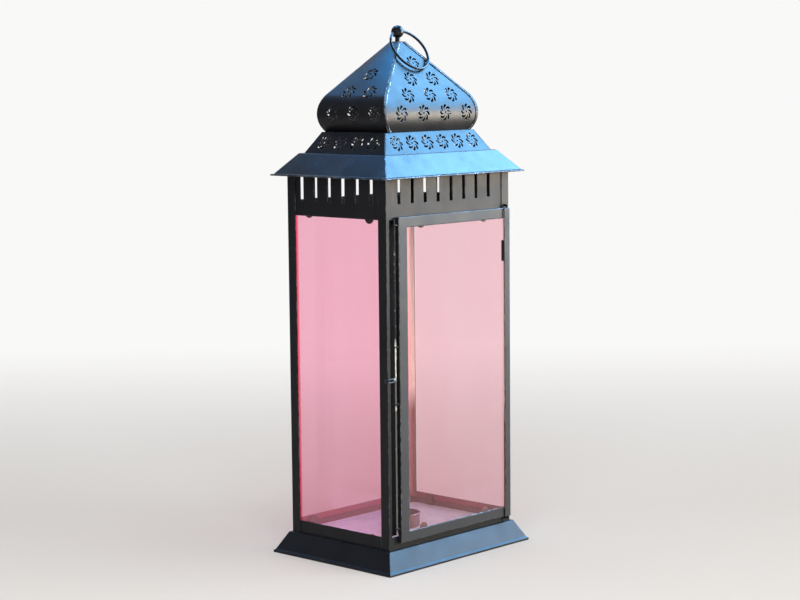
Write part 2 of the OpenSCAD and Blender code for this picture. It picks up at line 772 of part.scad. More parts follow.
// Candle cup, turned, with a rolled rim
module candle_cup() {
    r = cup_d / 2;
    color(bare) translate([0, 0, floor_z + sheet_t]) rotate_extrude() {
        translate([rivet_d / 2, 0]) square([r - rivet_d / 2, cup_t]);
        translate([r - cup_t, 0]) square([cup_t, cup_h - cup_rim_d / 2]);
        translate([r - cup_t * 0.8 + cup_rim_d / 2, cup_h - cup_rim_d / 2]) circle(d = cup_rim_d, $fn = 32);
    }
}
// A rivet with its head under the tray and its end flush inside the cup
module cup_rivet() {
    color(bare) translate([0, 0, floor_z]) {
        translate([0, 0, -rivet_head_h]) cylinder(d = rivet_head_d, h = rivet_head_h);
        cylinder(d = rivet_d, h = sheet_t + cup_t);
    }
}

base_skirt();
floor_tray();
post_front_left();
post_front_right();
post_back_left();
post_back_right();
rail_front();
rail_back();
rail_left();
rail_right();
vent_front();
vent_back();
vent_left();
vent_right();
pane_back();
pane_left();
pane_right();
clips_back();
clips_left();
clips_right();
door_stop();
door_frame();
door_hinge_stile();
door_pane();
door_clips();
hinge_wire();
latch_eyes();
latch_wire();
eave();
tier_front();
tier_back();
tier_left();
tier_right();
tier_deck();
dome_front();
dome_back();
dome_left();
dome_right();
dome_cap();
finial_nut();
finial_stud();
finial_ball();
ring_handle();
candle_cup();
cup_rivet();
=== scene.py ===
import json
import math
import random

import bpy
from mathutils import Matrix, Vector, noise
from mathutils.geometry import delaunay_2d_cdt


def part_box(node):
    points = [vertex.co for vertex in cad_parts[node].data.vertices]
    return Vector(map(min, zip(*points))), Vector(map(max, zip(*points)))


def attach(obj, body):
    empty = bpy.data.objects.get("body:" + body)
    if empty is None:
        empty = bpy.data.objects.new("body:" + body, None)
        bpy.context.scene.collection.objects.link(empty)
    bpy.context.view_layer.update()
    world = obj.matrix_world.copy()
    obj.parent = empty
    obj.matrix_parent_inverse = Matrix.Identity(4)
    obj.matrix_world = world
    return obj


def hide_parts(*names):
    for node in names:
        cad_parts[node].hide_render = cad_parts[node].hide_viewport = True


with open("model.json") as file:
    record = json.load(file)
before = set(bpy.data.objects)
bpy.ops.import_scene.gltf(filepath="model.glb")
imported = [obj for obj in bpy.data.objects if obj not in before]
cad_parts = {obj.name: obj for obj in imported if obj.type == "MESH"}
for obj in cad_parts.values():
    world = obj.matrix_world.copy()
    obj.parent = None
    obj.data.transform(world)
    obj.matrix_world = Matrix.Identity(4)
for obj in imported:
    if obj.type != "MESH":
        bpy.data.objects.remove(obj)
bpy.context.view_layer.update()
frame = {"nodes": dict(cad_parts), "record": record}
nodes = frame["nodes"]

# Sizes in millimetres, as in the part's own source
HALF_W, HALF_D, SHEET = 103.0, 76.0, 0.8
BASE_H, HEM_W, HEM_H, FLARE, LEDGE = 24.0, 2.0, 2.5, 14.0, 3.0
EAVE_Z, EAVE_H, EAVE_OUT, EAVE_IN = 433.0, 25.0, 12.6, 9.6
TIER_Z, TIER_H, TIER_STEP = 458.0, 23.5, 4.3
TIER_IN = (15.1, 13.3)
TIER_PITCH = 25.2
DOME_Z, DOME_H = 481.5, 99.5
# The dome's ends, then its front and back: step on the tier, swelling's height and radius, half of the cap
DOME_STEP, SWELL_Z, SWELL_R, CAP_HALF = (5.8, 0.3), (21.5, 17.5), (28.0, 45.0), (7.0, 6.0)
END_PILLOW = 1.2
SEAM_W, GAP, SEAT_GAP = 3.0, 0.1, 0.25
# Rosettes: radius, drops and their swirl, and as shares of the radius: head, its place, tail's place, dot
ROSETTE_R, PETALS, SWIRL = 9.75, 8, math.radians(30)
HEAD_SHARE, HEAD_AT, TAIL_AT, DOT_SHARE = 0.145, 0.84, 0.34, 0.11
# The dome's rows at front, right, back and left: pitch along, rise up the metal, lift of the lowest row
DOME_ROWS = ((36.0, 21.3, 0.0), (32.0, 27.5, 0.0), (35.0, 21.3, 3.0), (32.0, 27.5, 0.0))
FIRST_ROW_Z = 20.5
# How far the lowest row of the dome, and the tier's row, sit off the middle of each side
ROW_LEAN = (4.0, 14.0, 14.0, 4.0)
TIER_LEAN = (0.0, 4.0, 7.0, 0.0)
BALL_Z, BALL_D, BALL_HOLE = 592.769, 14.5, 6.4
# The ring: mean radius, radius of its wire, slip in the ball, angle of its joint and the opening there
RING_R, RING_WIRE_R, RING_SLIP, RING_JOINT, RING_OPENING = 26.2, 1.6, 4.0, 332, 0.35
# Vent strips: half lengths of the long and the short ones, heights, and the slots' centres along each side
VENT_HALF = (HALF_W - 2 * SHEET - 0.2, HALF_D - SHEET)
VENT_Z, VENT_SLOT_Z = (388.5, 445.73), (405.0, 439.03)
VENT_SLOT_W, VENT_GAUGE = 5.0, 0.6
SLOT_PITCH, FAR_PITCH, FRONT_SHIFT, RIGHT_SHIFT = 21.4, 23.1, -6.5, 6.8
FRONT_SLOTS = [FRONT_SHIFT + SLOT_PITCH * (i - 3.5) for i in range(8)]
RIGHT_SLOTS = [RIGHT_SHIFT + FAR_PITCH * (i - 2) for i in range(5)]
BACK_SLOTS = (-80.5, -56.6, -32.8, -9.4, 14.7, 36.4, 57.7, 81.0)
LEFT_SLOTS = [SLOT_PITCH * (i - 2.5) for i in range(6)]
VENT_SLOTS = (FRONT_SLOTS, RIGHT_SLOTS, BACK_SLOTS, LEFT_SLOTS)
# Hinge edge of the door: start of the strip, front face, barrel
STILE_X, DOOR_FRONT, BARREL, BARREL_R = 87.7, -82.9, (95.7, -79.7), 3.2
# Posts: leg, what is left of it beside the door and the right window, the windows' heights, the hinge's tab
POST_LEG, JAMB_W, WINDOW, POST_TAB = 12.0, 4.7, (38.5, 388.5), (330.0, 354.0)
# The front right post: side leg along the window, holes for the hinge wire's bends and their place
SIDE_LEG, HINGE_HOLE_R, HINGE_HOLE_IN = 7.6, 1.5, 1.46
# The stop strip: how much wider it is than its solid, and the width of its hem
STOP_WIDER, STOP_HEM = 2.6, 4
tier_foot = (HALF_W - EAVE_IN - TIER_STEP, HALF_D - EAVE_IN - TIER_STEP)
tier_top = (tier_foot[0] - TIER_IN[0], tier_foot[1] - TIER_IN[1])


# Camera
# Place in metres, azimuth, pitch and roll in degrees, and focal length in pixels, as fitted to the photograph
EYE = (-1.6847, -1.5646, 0.5533)
AIM = (-47.114, 6.590, -0.565)
FOCAL_PX, FRAME_PX, SENSOR = 2018.1, 800, 36.0


def make_camera():
    az, pitch, roll = (math.radians(v) for v in AIM)
    fwd = Vector((-math.sin(az) * math.cos(pitch), math.cos(az) * math.cos(pitch), -math.sin(pitch)))
    right = fwd.cross(Vector((0, 0, 1))).normalized()
    up = right.cross(fwd)
    rolled_right = right * math.cos(roll) + up * math.sin(roll)
    rolled_up = up * math.cos(roll) - right * math.sin(roll)
    data = bpy.data.cameras.new("camera")
    data.sensor_fit = "HORIZONTAL"
    data.sensor_width = SENSOR
    data.lens = FOCAL_PX / FRAME_PX * SENSOR
    data.clip_end = 60
    cam = bpy.data.objects.new("camera", data)
    place = Matrix((rolled_right, rolled_up, -fwd)).transposed().to_4x4()
    place.translation = EYE
    cam.matrix_world = place
    bpy.context.collection.objects.link(cam)
    bpy.context.scene.camera = cam


make_camera()


# Meshes
def mesh_object(name, verts, faces, material, smooth_angle=35):
    """Verts are in millimetres."""
    mesh = bpy.data.meshes.new(name)
    mesh.from_pydata([tuple(c * 0.001 for c in v) for v in verts], [], faces)
    mesh.validate()
    mesh.polygons.foreach_set("use_smooth", [True] * len(mesh.polygons))
    mesh.set_sharp_from_angle(angle=math.radians(smooth_angle))
    mesh.update()
    obj = bpy.data.objects.new(name, mesh)
    obj.data.materials.append(material)
    bpy.context.collection.objects.link(obj)
    return obj


def turned(v, side):
    """A point drawn at the front, turned to face another side: 1 right, 2 back, 3 left."""
    x, y, z = v
    return [(x, y, z), (-y, x, z), (-x, -y, z), (y, -x, z)][side]


def wobble(p, amount, scale=28.0):
    return amount * noise.noise(Vector((p[0] / scale + 7.3, p[1] / scale, p[2] / scale)))


# Pierced panels
def petal_loops(u0, s0, r):
    """Eight swirling drops round a dot, in the panel's own plane."""
    loops = []
    head_r, head_at, tail_at = r * HEAD_SHARE, r * HEAD_AT, r * TAIL_AT
    for k in range(PETALS):
        base = 2 * math.pi / PETALS * (k + 0.5)
        spine = []
        for i in range(9):
            t = i / 8
            rad = tail_at + (head_at - tail_at) * t
            a = base - SWIRL * t * t
            spine.append(Vector((rad * math.cos(a), rad * math.sin(a))))
        left, right = [], []
        for i in range(1, 8):
            d = (spine[i + 1] - spine[i - 1]).normalized()
            n = Vector((-d.y, d.x))
            w = head_r * min(1.0, (i / 8) ** 0.8 * 1.02)
            left.append(spine[i] + n * w)
            right.append(spine[i] - n * w)
        d = (spine[8] - spine[7]).normalized()
        a0 = math.atan2(-d.x, d.y)
        head = [spine[8] + head_r * Vector((math.cos(a0 + math.pi * j / 8), math.sin(a0 + math.pi * j / 8)))
                for j in range(9)]
        loops.append([spine[0]] + right + head + left[::-1])
    loops.append([Vector((r * DOT_SHARE * math.cos(a), r * DOT_SHARE * math.sin(a)))
                  for a in (2 * math.pi * j / 14 for j in range(14))])
    return [[Vector((p.x + u0, p.y + s0)) for p in loop] for loop in loops]


def panel(rows, limit, surface, holes, near_hole, side, amount, step=3.0, gauge=SHEET):
    """A thin pierced sheet over rows of arc length, as wide at each row as limit says."""
    foot = [Vector((limit(rows[0]) * (2 * i / 40 - 1), rows[0])) for i in range(41)]
    head_n = max(2, int(limit(rows[-1]) / step))
    head = [Vector((limit(rows[-1]) * (1 - 2 * i / head_n), rows[-1])) for i in range(head_n + 1)]
    outline = (foot + [Vector((limit(s), s)) for s in rows[1:-1]] + head
               + [Vector((-limit(s), s)) for s in rows[-2:0:-1]])
    inside = []
    for i, s in enumerate(rows[1:-1]):
        lim = limit(s)
        n = max(1, int(2 * lim / step))
        for j in range(1, n):
            u = lim * (2 * (j + (0.5 if i % 2 else 0.0)) / n - 1)
            if abs(u) < lim - 0.5 and not near_hole(u, s):
                inside.append(Vector((u, s)))
    return cut_sheet(outline, holes, inside, surface, side, amount, gauge)


def cut_sheet(outline, holes, inside, surface, side, amount, gauge, fold=()):
    """A thin sheet with an outline, holes and a fold. surface(u, s) gives an outer point and its normal."""
    pts, edges, loops = [], [], []
    for loop in [outline] + holes:
        start, n = len(pts), len(loop)
        pts.extend(loop)
        edges.extend((start + i, start + (i + 1) % n) for i in range(n))
        loops.append(list(range(start, start + n)))
    edges.extend((len(pts) + i, len(pts) + i + 1) for i in range(len(fold) - 1))
    pts.extend(fold)
    pts.extend(inside)
    out_v, _, out_f, _, _, orig = delaunay_2d_cdt(pts, edges, loops, 1, 1e-5, True)
    faces = [f for f, o in zip(out_f, orig) if 0 in o and len(o) == 1]
    outer, inner = [], []
    for p in out_v:
        q, n = surface(p.x, p.y)
        q = [q[k] + n[k] * wobble(q, amount) for k in range(3)]
        outer.append(turned(q, side))
        inner.append(turned([q[k] - n[k] * gauge for k in range(3)], side))
    count = len(outer)
    used = {}
    for f in faces:
        for a, b in zip(f, f[1:] + f[:1]):
            used[(a, b)] = True
    result = [list(f) for f in faces] + [[count + v for v in reversed(f)] for f in faces]
    for a, b in used:
        if (b, a) not in used:
            result.append([b, a, count + a, count + b])
    return outer + inner, result


def rosette_panel(rows, limit, surface, rosettes, side, amount):
    holes = [loop for u0, s0 in rosettes for loop in petal_loops(u0, s0, ROSETTE_R)]

    def near_hole(u, s):
        return any(math.hypot(u - a, s - b) < ROSETTE_R + 0.6 for a, b in rosettes)

    return panel(rows, limit, surface, holes, near_hole, side, amount)


def vent_panel(side, material):
    """A slotted strip under the eave. The slots are punched one by one, so no two are quite alike."""
    face, half = ((HALF_W if side % 2 else HALF_D) - SHEET), VENT_HALF[side % 2]
    draw = random.Random(40 + side)
    centres = [c + draw.uniform(-0.25, 0.25) for c in VENT_SLOTS[side]]
    holes = []
    for c in centres:
        w = VENT_SLOT_W / 2 + draw.uniform(-0.12, 0.12)
        lo = VENT_SLOT_Z[0] + draw.uniform(-0.5, 0.4)
        hi = VENT_SLOT_Z[1] + draw.uniform(-0.3, 0.3)
        tilt = draw.uniform(-0.15, 0.15)
        corners = [(c - w - tilt, lo), (c + w - tilt, lo), (c + w + tilt, hi), (c - w + tilt, hi)]
        holes.append([Vector(p) for p in fillet(corners, [0.5] * 4)])
    rows = [VENT_Z[0] + (VENT_Z[1] - VENT_Z[0]) * i / 10 for i in range(11)]

    def near_hole(u, z):
        return VENT_SLOT_Z[0] - 2 < z < VENT_SLOT_Z[1] + 2 and any(abs(u - c) < 4 for c in centres)

    def surface(u, z):
        return (u, -face, z), (0.0, -1.0, 0.0)

    verts, faces = panel(rows, lambda z: half, surface, holes, near_hole, side, 0.08, 8.0, VENT_GAUGE)
    name = ("vent_front", "vent_right", "vent_back", "vent_left")[side]
    obj = mesh_object(name + "_sheet", verts, faces, material)
    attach(obj, "lantern")
    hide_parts(name)


class Curve:
    """The dome's outline: an arc for the swelling, then a straight slope that touches it."""

    def __init__(self, foot, zc, r, cap):
        self.zc, self.r = zc, r
        self.half = foot + r - math.sqrt(r * r - zc * zc)
        self.m = self.half - r
        vx, vy = cap - self.m, DOME_H - zc
        self.a = math.atan2(vy, vx) - math.acos(r / math.hypot(vx, vy))
        self.low = -math.asin(zc / r) * r
        self.bend = self.a * r
        self.top = self.bend + (DOME_H - zc - r * math.sin(self.a)) / math.cos(self.a)

    def at(self, s):
        if s < self.bend:
            a = s / self.r
            return self.m + self.r * math.cos(a), self.zc + self.r * math.sin(a), a
        t = s - self.bend
        return (self.m + self.r * math.cos(self.a) - t * math.sin(self.a),
                self.zc + self.r * math.sin(self.a) + t * math.cos(self.a), self.a)

    def half_at(self, z, off=0.0):
        r = self.r + off
        tz = self.zc + r * math.sin(self.a)
        if z < tz:
            return self.m + math.sqrt(max(0.0, r * r - (z - self.zc) ** 2))
        return self.m + r * math.cos(self.a) - (z - tz) * math.tan(self.a)

    def rows(self):
        n = max(8, int((self.bend - self.low) / 1.5))
        arc = [self.low + (self.bend - self.low) * i / n for i in range(n)]
        m = max(6, int((self.top - self.bend) / 3))
        return arc + [self.bend + (self.top - self.bend) * i / m for i in range(m + 1)]


END, FRONT = (Curve(tier_top[i] - DOME_STEP[i], SWELL_Z[i], SWELL_R[i], CAP_HALF[i]) for i in (0, 1))


def dome_panel(side, material):
    ends = side % 2
    own, other = (END, FRONT) if ends else (FRONT, END)
    pitch, rise, lift = DOME_ROWS[side]

    def limit(s):
        z = own.at(s)[1]
        return other.half_at(z, GAP) if ends else other.half_at(z, -SHEET - GAP)

    def surface(u, s):
        out, z, a = own.at(s)
        t = min(1.0, max(0.0, (s - own.bend) / (own.top - own.bend)))
        swell = END_PILLOW * ends * math.sin(math.pi * t) * (1 - (u / limit(s)) ** 2)
        tip = END_PILLOW * ends * math.pi / (own.top - own.bend) * math.cos(math.pi * t) * (0 < t < 1)
        n = Vector((0.0, -math.cos(a) - tip * math.sin(a), math.sin(a) - tip * math.cos(a))).normalized()
        return (u, -out - swell * math.cos(a), DOME_Z + z + swell * math.sin(a)), tuple(n)

    first = math.asin((FIRST_ROW_Z - own.zc) / own.r) * own.r
    rosettes = []
    row_count = math.ceil((DOME_H - own.zc) / math.cos(own.a) / rise)
    for k in range(row_count):
        s = first + lift + k * rise
        if s > own.top or own.at(s)[1] + ROSETTE_R >= DOME_H - ROSETTE_R:
            break
        count = int(2 * other.half_at(own.at(s)[1]) / pitch)
        lean = ROW_LEAN[side] * (1 - k / row_count)
        rosettes += [(lean + (i - (count - 1) / 2) * pitch, s) for i in range(count)]
    verts, faces = rosette_panel(own.rows(), limit, surface, rosettes, side, 0.12)
    plain = len(faces)
    if ends:
        for flip in (1, -1):
            strip_v, strip_f = seam_strip(own, other, flip, side)
            faces += [[len(verts) + i for i in f] for f in strip_f]
            verts += strip_v
    name = ("dome_front", "dome_right", "dome_back", "dome_left")[side]
    obj = mesh_object(name + "_sheet", verts, faces, material)
    obj.data.materials.append(seam_black)
    for face in obj.data.polygons[plain:]:
        face.material_index = 1
    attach(obj, "lantern")
    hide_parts(name)


def seam_strip(own, other, flip, side):
    """The flange that turns round the corner of the dome, lapping the front or back."""
    verts, faces = [], []
    rows = own.rows()
    for s in rows:
        out, z, a = own.at(s)
        lo, hi = other.half_at(z, GAP), other.half_at(z, SHEET)
        depth = SHEET / max(0.3, math.cos(a))
        r = 0.6
        section = [(lo, -out + depth), (lo, -out + depth + SEAM_W), (hi - 0.15, -out + depth + SEAM_W),
                   (hi, -out + depth + SEAM_W - 0.2)]
        section += [(hi - r + r * math.cos(t), -out + r - r * math.sin(t))
                    for t in (math.pi / 2 * j / 4 for j in range(5))]
        section += [(lo - 0.05, -out)]
        verts += [turned((flip * x, y, DOME_Z + z), side) for x, y in section]
    n = len(section)
    for i in range(len(rows) - 1):
        for j in range(n):
            a, b = i * n + j, i * n + (j + 1) % n
            faces.append([a, b, b + n, a + n] if flip > 0 else [b, a, a + n, b + n])
    last = (len(rows) - 1) * n
    faces.append(list(range(n))[::-1] if flip > 0 else list(range(n)))
    faces.append([last + j for j in range(n)] if flip > 0 else [last + j for j in range(n)][::-1])
    return verts, faces


def tier_panel(side, material):
    ends = side % 2
    i0, i1 = (1, 0) if ends else (0, 1)
    run, length = TIER_IN[i1], math.hypot(TIER_IN[i1], TIER_H)
    lean = math.atan2(run, TIER_H)
    wall = SHEET * math.hypot(TIER_IN[i0], TIER_H) / TIER_H + GAP

    def limit(s):
        return tier_foot[i0] - TIER_IN[i0] * s / length - (0 if ends else wall)

    def surface(u, s):
        out = tier_foot[i1] - run * s / length
        return (u, -out, TIER_Z + TIER_H * s / length), (0.0, -math.cos(lean), math.sin(lean))

    count = int((tier_foot[i0] + tier_top[i0]) / TIER_PITCH)
    rosettes = [(TIER_LEAN[side] + (i - (count - 1) / 2) * TIER_PITCH, length / 2) for i in range(count)]
    rows = [length * i / 12 for i in range(13)]
    verts, faces = rosette_panel(rows, limit, surface, rosettes, side, 0.10)
    name = ("tier_front", "tier_right", "tier_back", "tier_left")[side]
    obj = mesh_object(name + "_sheet", verts, faces, material)
    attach(obj, "lantern")
    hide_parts(name)


# Folded skirts
def fillet(points, radii, steps=4):
    """Rounds the corners of a closed outline."""
    out = []
    n = len(points)
    for i, (p, r) in enumerate(zip(points, radii)):
        a, b, c = Vector(points[i - 1]), Vector(p), Vector(points[(i + 1) % n])
        if r <= 0:
            out.append(tuple(b))
            continue
        u, v = (a - b).normalized(), (c - b).normalized()
        ang = math.acos(max(-1, min(1, u.dot(v))))
        cut = min(r / math.tan(ang / 2), 0.45 * (a - b).length, 0.45 * (c - b).length)
        for j in range(steps + 1):
            t = j / steps
            q = (b + u * cut) * (1 - t) ** 2 + b * 2 * t * (1 - t) + (b + v * cut) * t ** 2
            out.append(tuple(q))
    return out


def folded_skirt(name, node, outline, radii, material, amount):
    """A closed section of (outset, height) led round the body, mitred at the corners."""
    section = fillet(outline, radii)
    along = [0.0, 0.03, 0.1, 0.2, 0.3, 0.4, 0.5, 0.6, 0.7, 0.8, 0.9, 0.97]
    verts, faces = [], []
    corners = [(-1, -1), (1, -1), (1, 1), (-1, 1)]
    for k in range(4):
        (ax, ay), (bx, by) = corners[k], corners[(k + 1) % 4]
        for t in along:
            fx, fy = ax + (bx - ax) * t, ay + (by - ay) * t
            push = 0.0 if t == 0 else math.sin(math.pi * t)
            for e, z in section:
                x, y = fx * (HALF_W + e), fy * (HALF_D + e)
                d = (1 + wobble((x, y, z), 1.0, 35)) * amount * push
                if abs(ax - bx) > 0:
                    y -= d * fy
                else:
                    x -= d * fx
                verts.append((x, y, z))
    n, m = len(section), 4 * len(along)
    for i in range(m):
        for j in range(n):
            a, b = i * n + j, i * n + (j + 1) % n
            c, d = (a + n) % (n * m), (b + n) % (n * m)
            faces.append([a, c, d, b])
    obj = mesh_object(name, verts, faces, material, 40)
    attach(obj, "lantern")
    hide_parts(node)
    return obj


# Ring, posts and strips
def tube(path, r, sides=14, closed=False):
    n = len(path)
    verts, faces = [], []
    ref = None
    for i, p in enumerate(path):
        a = path[i - 1] if (closed or i > 0) else path[i]
        b = path[(i + 1) % n] if (closed or i + 1 < n) else path[i]
        t = (b - a).normalized()
        if ref is None:
            ref = t.orthogonal().normalized()
        ref = (ref - t * ref.dot(t)).normalized()
        side = t.cross(ref)
        for j in range(sides):
            ang = 2 * math.pi * j / sides
            verts.append(tuple(p + (ref * math.cos(ang) + side * math.sin(ang)) * r))
    spans = n if closed else n - 1
    for i in range(spans):
        for j in range(sides):
            a, b = i * sides + j, i * sides + (j + 1) % sides
            c, d = (i + 1) % n * sides + j, (i + 1) % n * sides + (j + 1) % sides
            faces.append([a, b, d, c])
    if not closed:
        faces.append(list(range(sides))[::-1])
        faces.append([(n - 1) * sides + j for j in range(sides)])
    return verts, faces


def walls_between(count, rows):
    """The faces between rows of a closed section that has count points."""
    faces = []
    for k in range(rows - 1):
        for j in range(count):
            a, b = k * count + j, k * count + (j + 1) % count
            faces.append([a, b, b + count, a + count])
    return faces


def make_ring(material):
    """A hand-bent wire ring whose ends meet in a butt joint."""
    hole_end = math.sqrt(BALL_D ** 2 - BALL_HOLE ** 2) / 2
    drop = (RING_R + math.sqrt(RING_R ** 2 - (hole_end + RING_SLIP) ** 2)) / 2
    ball_off = (BALL_Z - DOME_Z - DOME_H) * math.sin(FRONT.a) - CAP_HALF[1] * math.cos(FRONT.a)
    rise = RING_WIRE_R + 2 * SHEET + SEAT_GAP - ball_off
    lean = math.pi / 2 - FRONT.a - math.asin(rise / (drop + RING_R))
    joint = math.radians(RING_JOINT)
    gap = RING_OPENING / RING_R
    path = []
    for i in range(121):
        a = joint + gap / 2 + (2 * math.pi - gap) * i / 120
        out = RING_R + 0.12 * math.sin(2 * a + 1.0) + 0.08 * math.sin(3 * a)
        side = 0.22 * math.cos(a - joint) ** 9 * (1 if i > 60 else -1)
        x, y, z = RING_SLIP + out * math.cos(a), -drop + out * math.sin(a), side
        path.append(Vector((x, y * math.cos(lean) - z * math.sin(lean),
                            BALL_Z + y * math.sin(lean) + z * math.cos(lean))))
    verts, faces = tube(path, RING_WIRE_R - 0.04, 18)
    obj = mesh_object("ring_wire", verts, faces, material, 50)
    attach(obj, "ring")
    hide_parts("ring_handle")


def cut_post(node, back, side_leg, tab, material):
    """A right-hand post, cut back along the side window, and with tab given along the door but for it."""
    lo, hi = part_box(node)
    z0, z1, leg = lo[2] * 1000, hi[2] * 1000, POST_LEG
    corners, radii = [(-leg, z0), (0, z0), (leg, z0)], [0.8, 0, 0.8]
    corners += [(leg, WINDOW[0]), (side_leg, WINDOW[0]), (side_leg, WINDOW[1]), (leg, WINDOW[1])]
    radii += [0.8, 0.6, 0.6, 0.8]
    corners += [(leg, z1), (0, z1), (-leg, z1)]
    radii += [0.8, 0, 0.8]
    holes = []
    if tab:
        for top, foot in ((WINDOW[1], tab[1]), (tab[0], WINDOW[0])):
            corners += [(-leg, top), (-JAMB_W, top), (-JAMB_W, foot), (-leg, foot)]
            radii += [0.8, 0.6, 0.6, 0.8]
        ends = [v[2] * 1000 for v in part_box("hinge_wire")]
        turns = [2 * math.pi * j / 16 for j in range(16)]
        circle = [(HINGE_HOLE_R * math.cos(a), HINGE_HOLE_R * math.sin(a)) for a in turns]
        for z in (ends[0] + HINGE_HOLE_IN, ends[1] - HINGE_HOLE_IN):
            holes.append([Vector((BARREL[0] - HALF_W + u, z + v)) for u, v in circle])
    outline = [Vector(p) for p in fillet(corners, radii)]
    fold = [Vector((0.0, z0 + (z1 - z0) * i / 40)) for i in range(41)]

    def surface(u, z):
        if abs(u) < 1e-4:
            return (HALF_W, -HALF_D, z), (1.0, -1.0, 0.0)
        if u < 0:
            return (HALF_W + u, -HALF_D, z), (0.0, -1.0, 0.0)
        return (HALF_W, -HALF_D + u, z), (1.0, 0.0, 0.0)

    verts, faces = cut_sheet(outline, holes, [], surface, 0, 0.0, SHEET, fold)
    if back:
        verts, faces = [[x, -y, z] for x, y, z in verts], [f[::-1] for f in faces]
    obj = mesh_object(node + "_fold", verts, faces, material)
    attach(obj, "lantern")
    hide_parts(node)


def stop_strip(material):
    """The angle strip that the door closes against, with a hem along its free edge."""
    lo, hi = (tuple(c * 1000 for c in v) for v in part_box("door_stop"))
    y, edge = hi[1], hi[0] + STOP_WIDER
    section = fillet([(lo[0], lo[1]), (lo[0] + SHEET, lo[1]), (lo[0] + SHEET, y - SHEET), (edge, y - SHEET),
                      (edge, y + SHEET), (edge - STOP_HEM, y + SHEET), (edge - STOP_HEM, y + 0.05),
                      (lo[0], y)],
                     [0.2, 0.2, 0.4, 0.7, 0.7, 0.3, 0, 0.8])
    count, rows = len(section), 25
    verts = []
    for k in range(rows):
        z = lo[2] + (hi[2] - lo[2]) * k / (rows - 1)
        verts += [(px, py + 0.15 * noise.noise(Vector((px / 60, 4.2, z / 50))) * (px > lo[0] + 3), z)
                  for px, py in section]
    faces = walls_between(count, rows)
    faces.append(list(range(count))[::-1])
    faces.append([(rows - 1) * count + j for j in range(count)])
    obj = mesh_object("door_stop_strip", verts, faces, material, 40)
    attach(obj, "lantern")
    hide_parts("door_stop")


def rolled_stile(material):
    """The door's hinge edge: one strip of sheet, flat in front and rolled round the hinge wire."""
    lo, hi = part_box("door_hinge_stile")
    r = BARREL_R - SHEET / 2
    path = [Vector((STILE_X + (BARREL[0] - STILE_X) * i / 6, DOOR_FRONT + SHEET / 2)) for i in range(7)]
    path += [Vector((BARREL[0] + r * math.cos(a), BARREL[1] + r * math.sin(a)))
             for a in (math.radians(-90 + 270 * i / 27) for i in range(1, 28))]
    path += [path[-1] + Vector((0.0, -0.8)), Vector((path[-1].x, DOOR_FRONT + SHEET + 0.05))]
    outer, inner = [], []
    for i, p in enumerate(path):
        a, b = path[max(0, i - 1)], path[min(len(path) - 1, i + 1)]
        d = (b - a).normalized()
        n = Vector((d.y, -d.x)) * SHEET / 2
        outer.append(p + n)
        inner.append(p - n)
    loop = outer + inner[::-1]
    count, rows = len(loop), 25
    verts = []
    for k in range(rows):
        z = lo[2] * 1000 + (hi[2] - lo[2]) * 1000 * k / (rows - 1)
        for p in loop:
            bow = 0.05 * noise.noise(Vector((1.7, p.x / 40, z / 45)))
            verts.append((p.x, p.y + (bow if p.y < DOOR_FRONT + 0.9 else 0.0) + 0.03, z))
    faces = walls_between(count, rows)
    last = (rows - 1) * count
    for i in range(len(path) - 1):
        a, b, c, d = i, i + 1, count - 2 - i, count - 1 - i
        faces.append([d, c, b, a])
        faces.append([last + a, last + b, last + c, last + d])
    obj = mesh_object("door_hinge_roll", verts, faces, material, 40)
    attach(obj, "door")
    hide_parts("door_hinge_stile")


# Materials
# Places and heights in metres where a finish changes
INNER_X, INNER_Y = (-0.0980, -0.1000), (-0.0720, -0.0735)
# Below the first pair of heights the posts' pale inner faces turn brown: painted light above, painted shade
# below.
POST_SHADE_LINE, CLIP_FOOT_Z = (0.168, 0.138), (0.09, 0.07)
WIRE_UPRIGHT, WIRE_RUBBED, WIRE_KNOCK = (-0.0965, -0.0945), (0.2145, 0.256), 0.182
FLOOR_TOP = 0.0244
# The panes' ends get a painted glow: a deep red near each end, for light running along the glass.
GLASS_ENDS, GLOW_DEPTH = (0.0920, 0.0656), 0.0018
# A thin band along one pane near its end is made nearly clear: a painted highlight on the glass's edge.
PALE_FROM, PALE_TO = (0.0681, 0.0684), (0.0700, 0.0696)
# Colours that several layers of a finish are mixed from
STEEL, DUST = (0.34, 0.335, 0.33), (0.32, 0.30, 0.28)
# Inner faces: a bare sheet tone made paler for the light falling in, partly painted light, and a brown that
# is painted shade.
LIT_BARE_SHEET, SHADE_BROWN = ((0.90, 0.76, 0.68), (0.99, 0.90, 0.83)), (0.36, 0.17, 0.16)
WIRE_DULL, WIRE_BRIGHT = (0.020, 0.020, 0.022), (0.74, 0.71, 0.63)
# The spangle's violet tint is painted pink light from the glass on the zinc.
PINK_LIT_SPANGLE = ((0.60, 0.52, 0.60), (0.72, 0.63, 0.72))
TRAY_STAIN, TRAY_WALL = (0.36, 0.33, 0.31), (0.22, 0.10, 0.10)
# A deep red for the painted glow at the panes' ends.
# A near-clear tint for the painted highlight on one pane's edge.
RED_END, END_HIGHLIGHT = (1.0, 0.30, 0.44), (1.0, 0.97, 0.98)
GLASS_FILM, GLASS_DUST = (0.98, 0.60, 0.72, 1), (0.95, 0.68, 0.76, 1)


def node_tools(tree):
    """Empties a node tree. Gives back a function that adds a node and one that links two sockets."""
    tree.nodes.clear()

    def add(kind, **values):
        node = tree.nodes.new("ShaderNode" + kind)
        for key, value in values.items():
            setattr(node, key, value)
        return node

    def link(a, b):
        tree.links.new(a, b)

    return add, link


def new_material(name):
    mat = bpy.data.materials.new(name)
    mat.use_nodes = True
    add, link = node_tools(mat.node_tree)
    return mat, add("OutputMaterial"), add, link


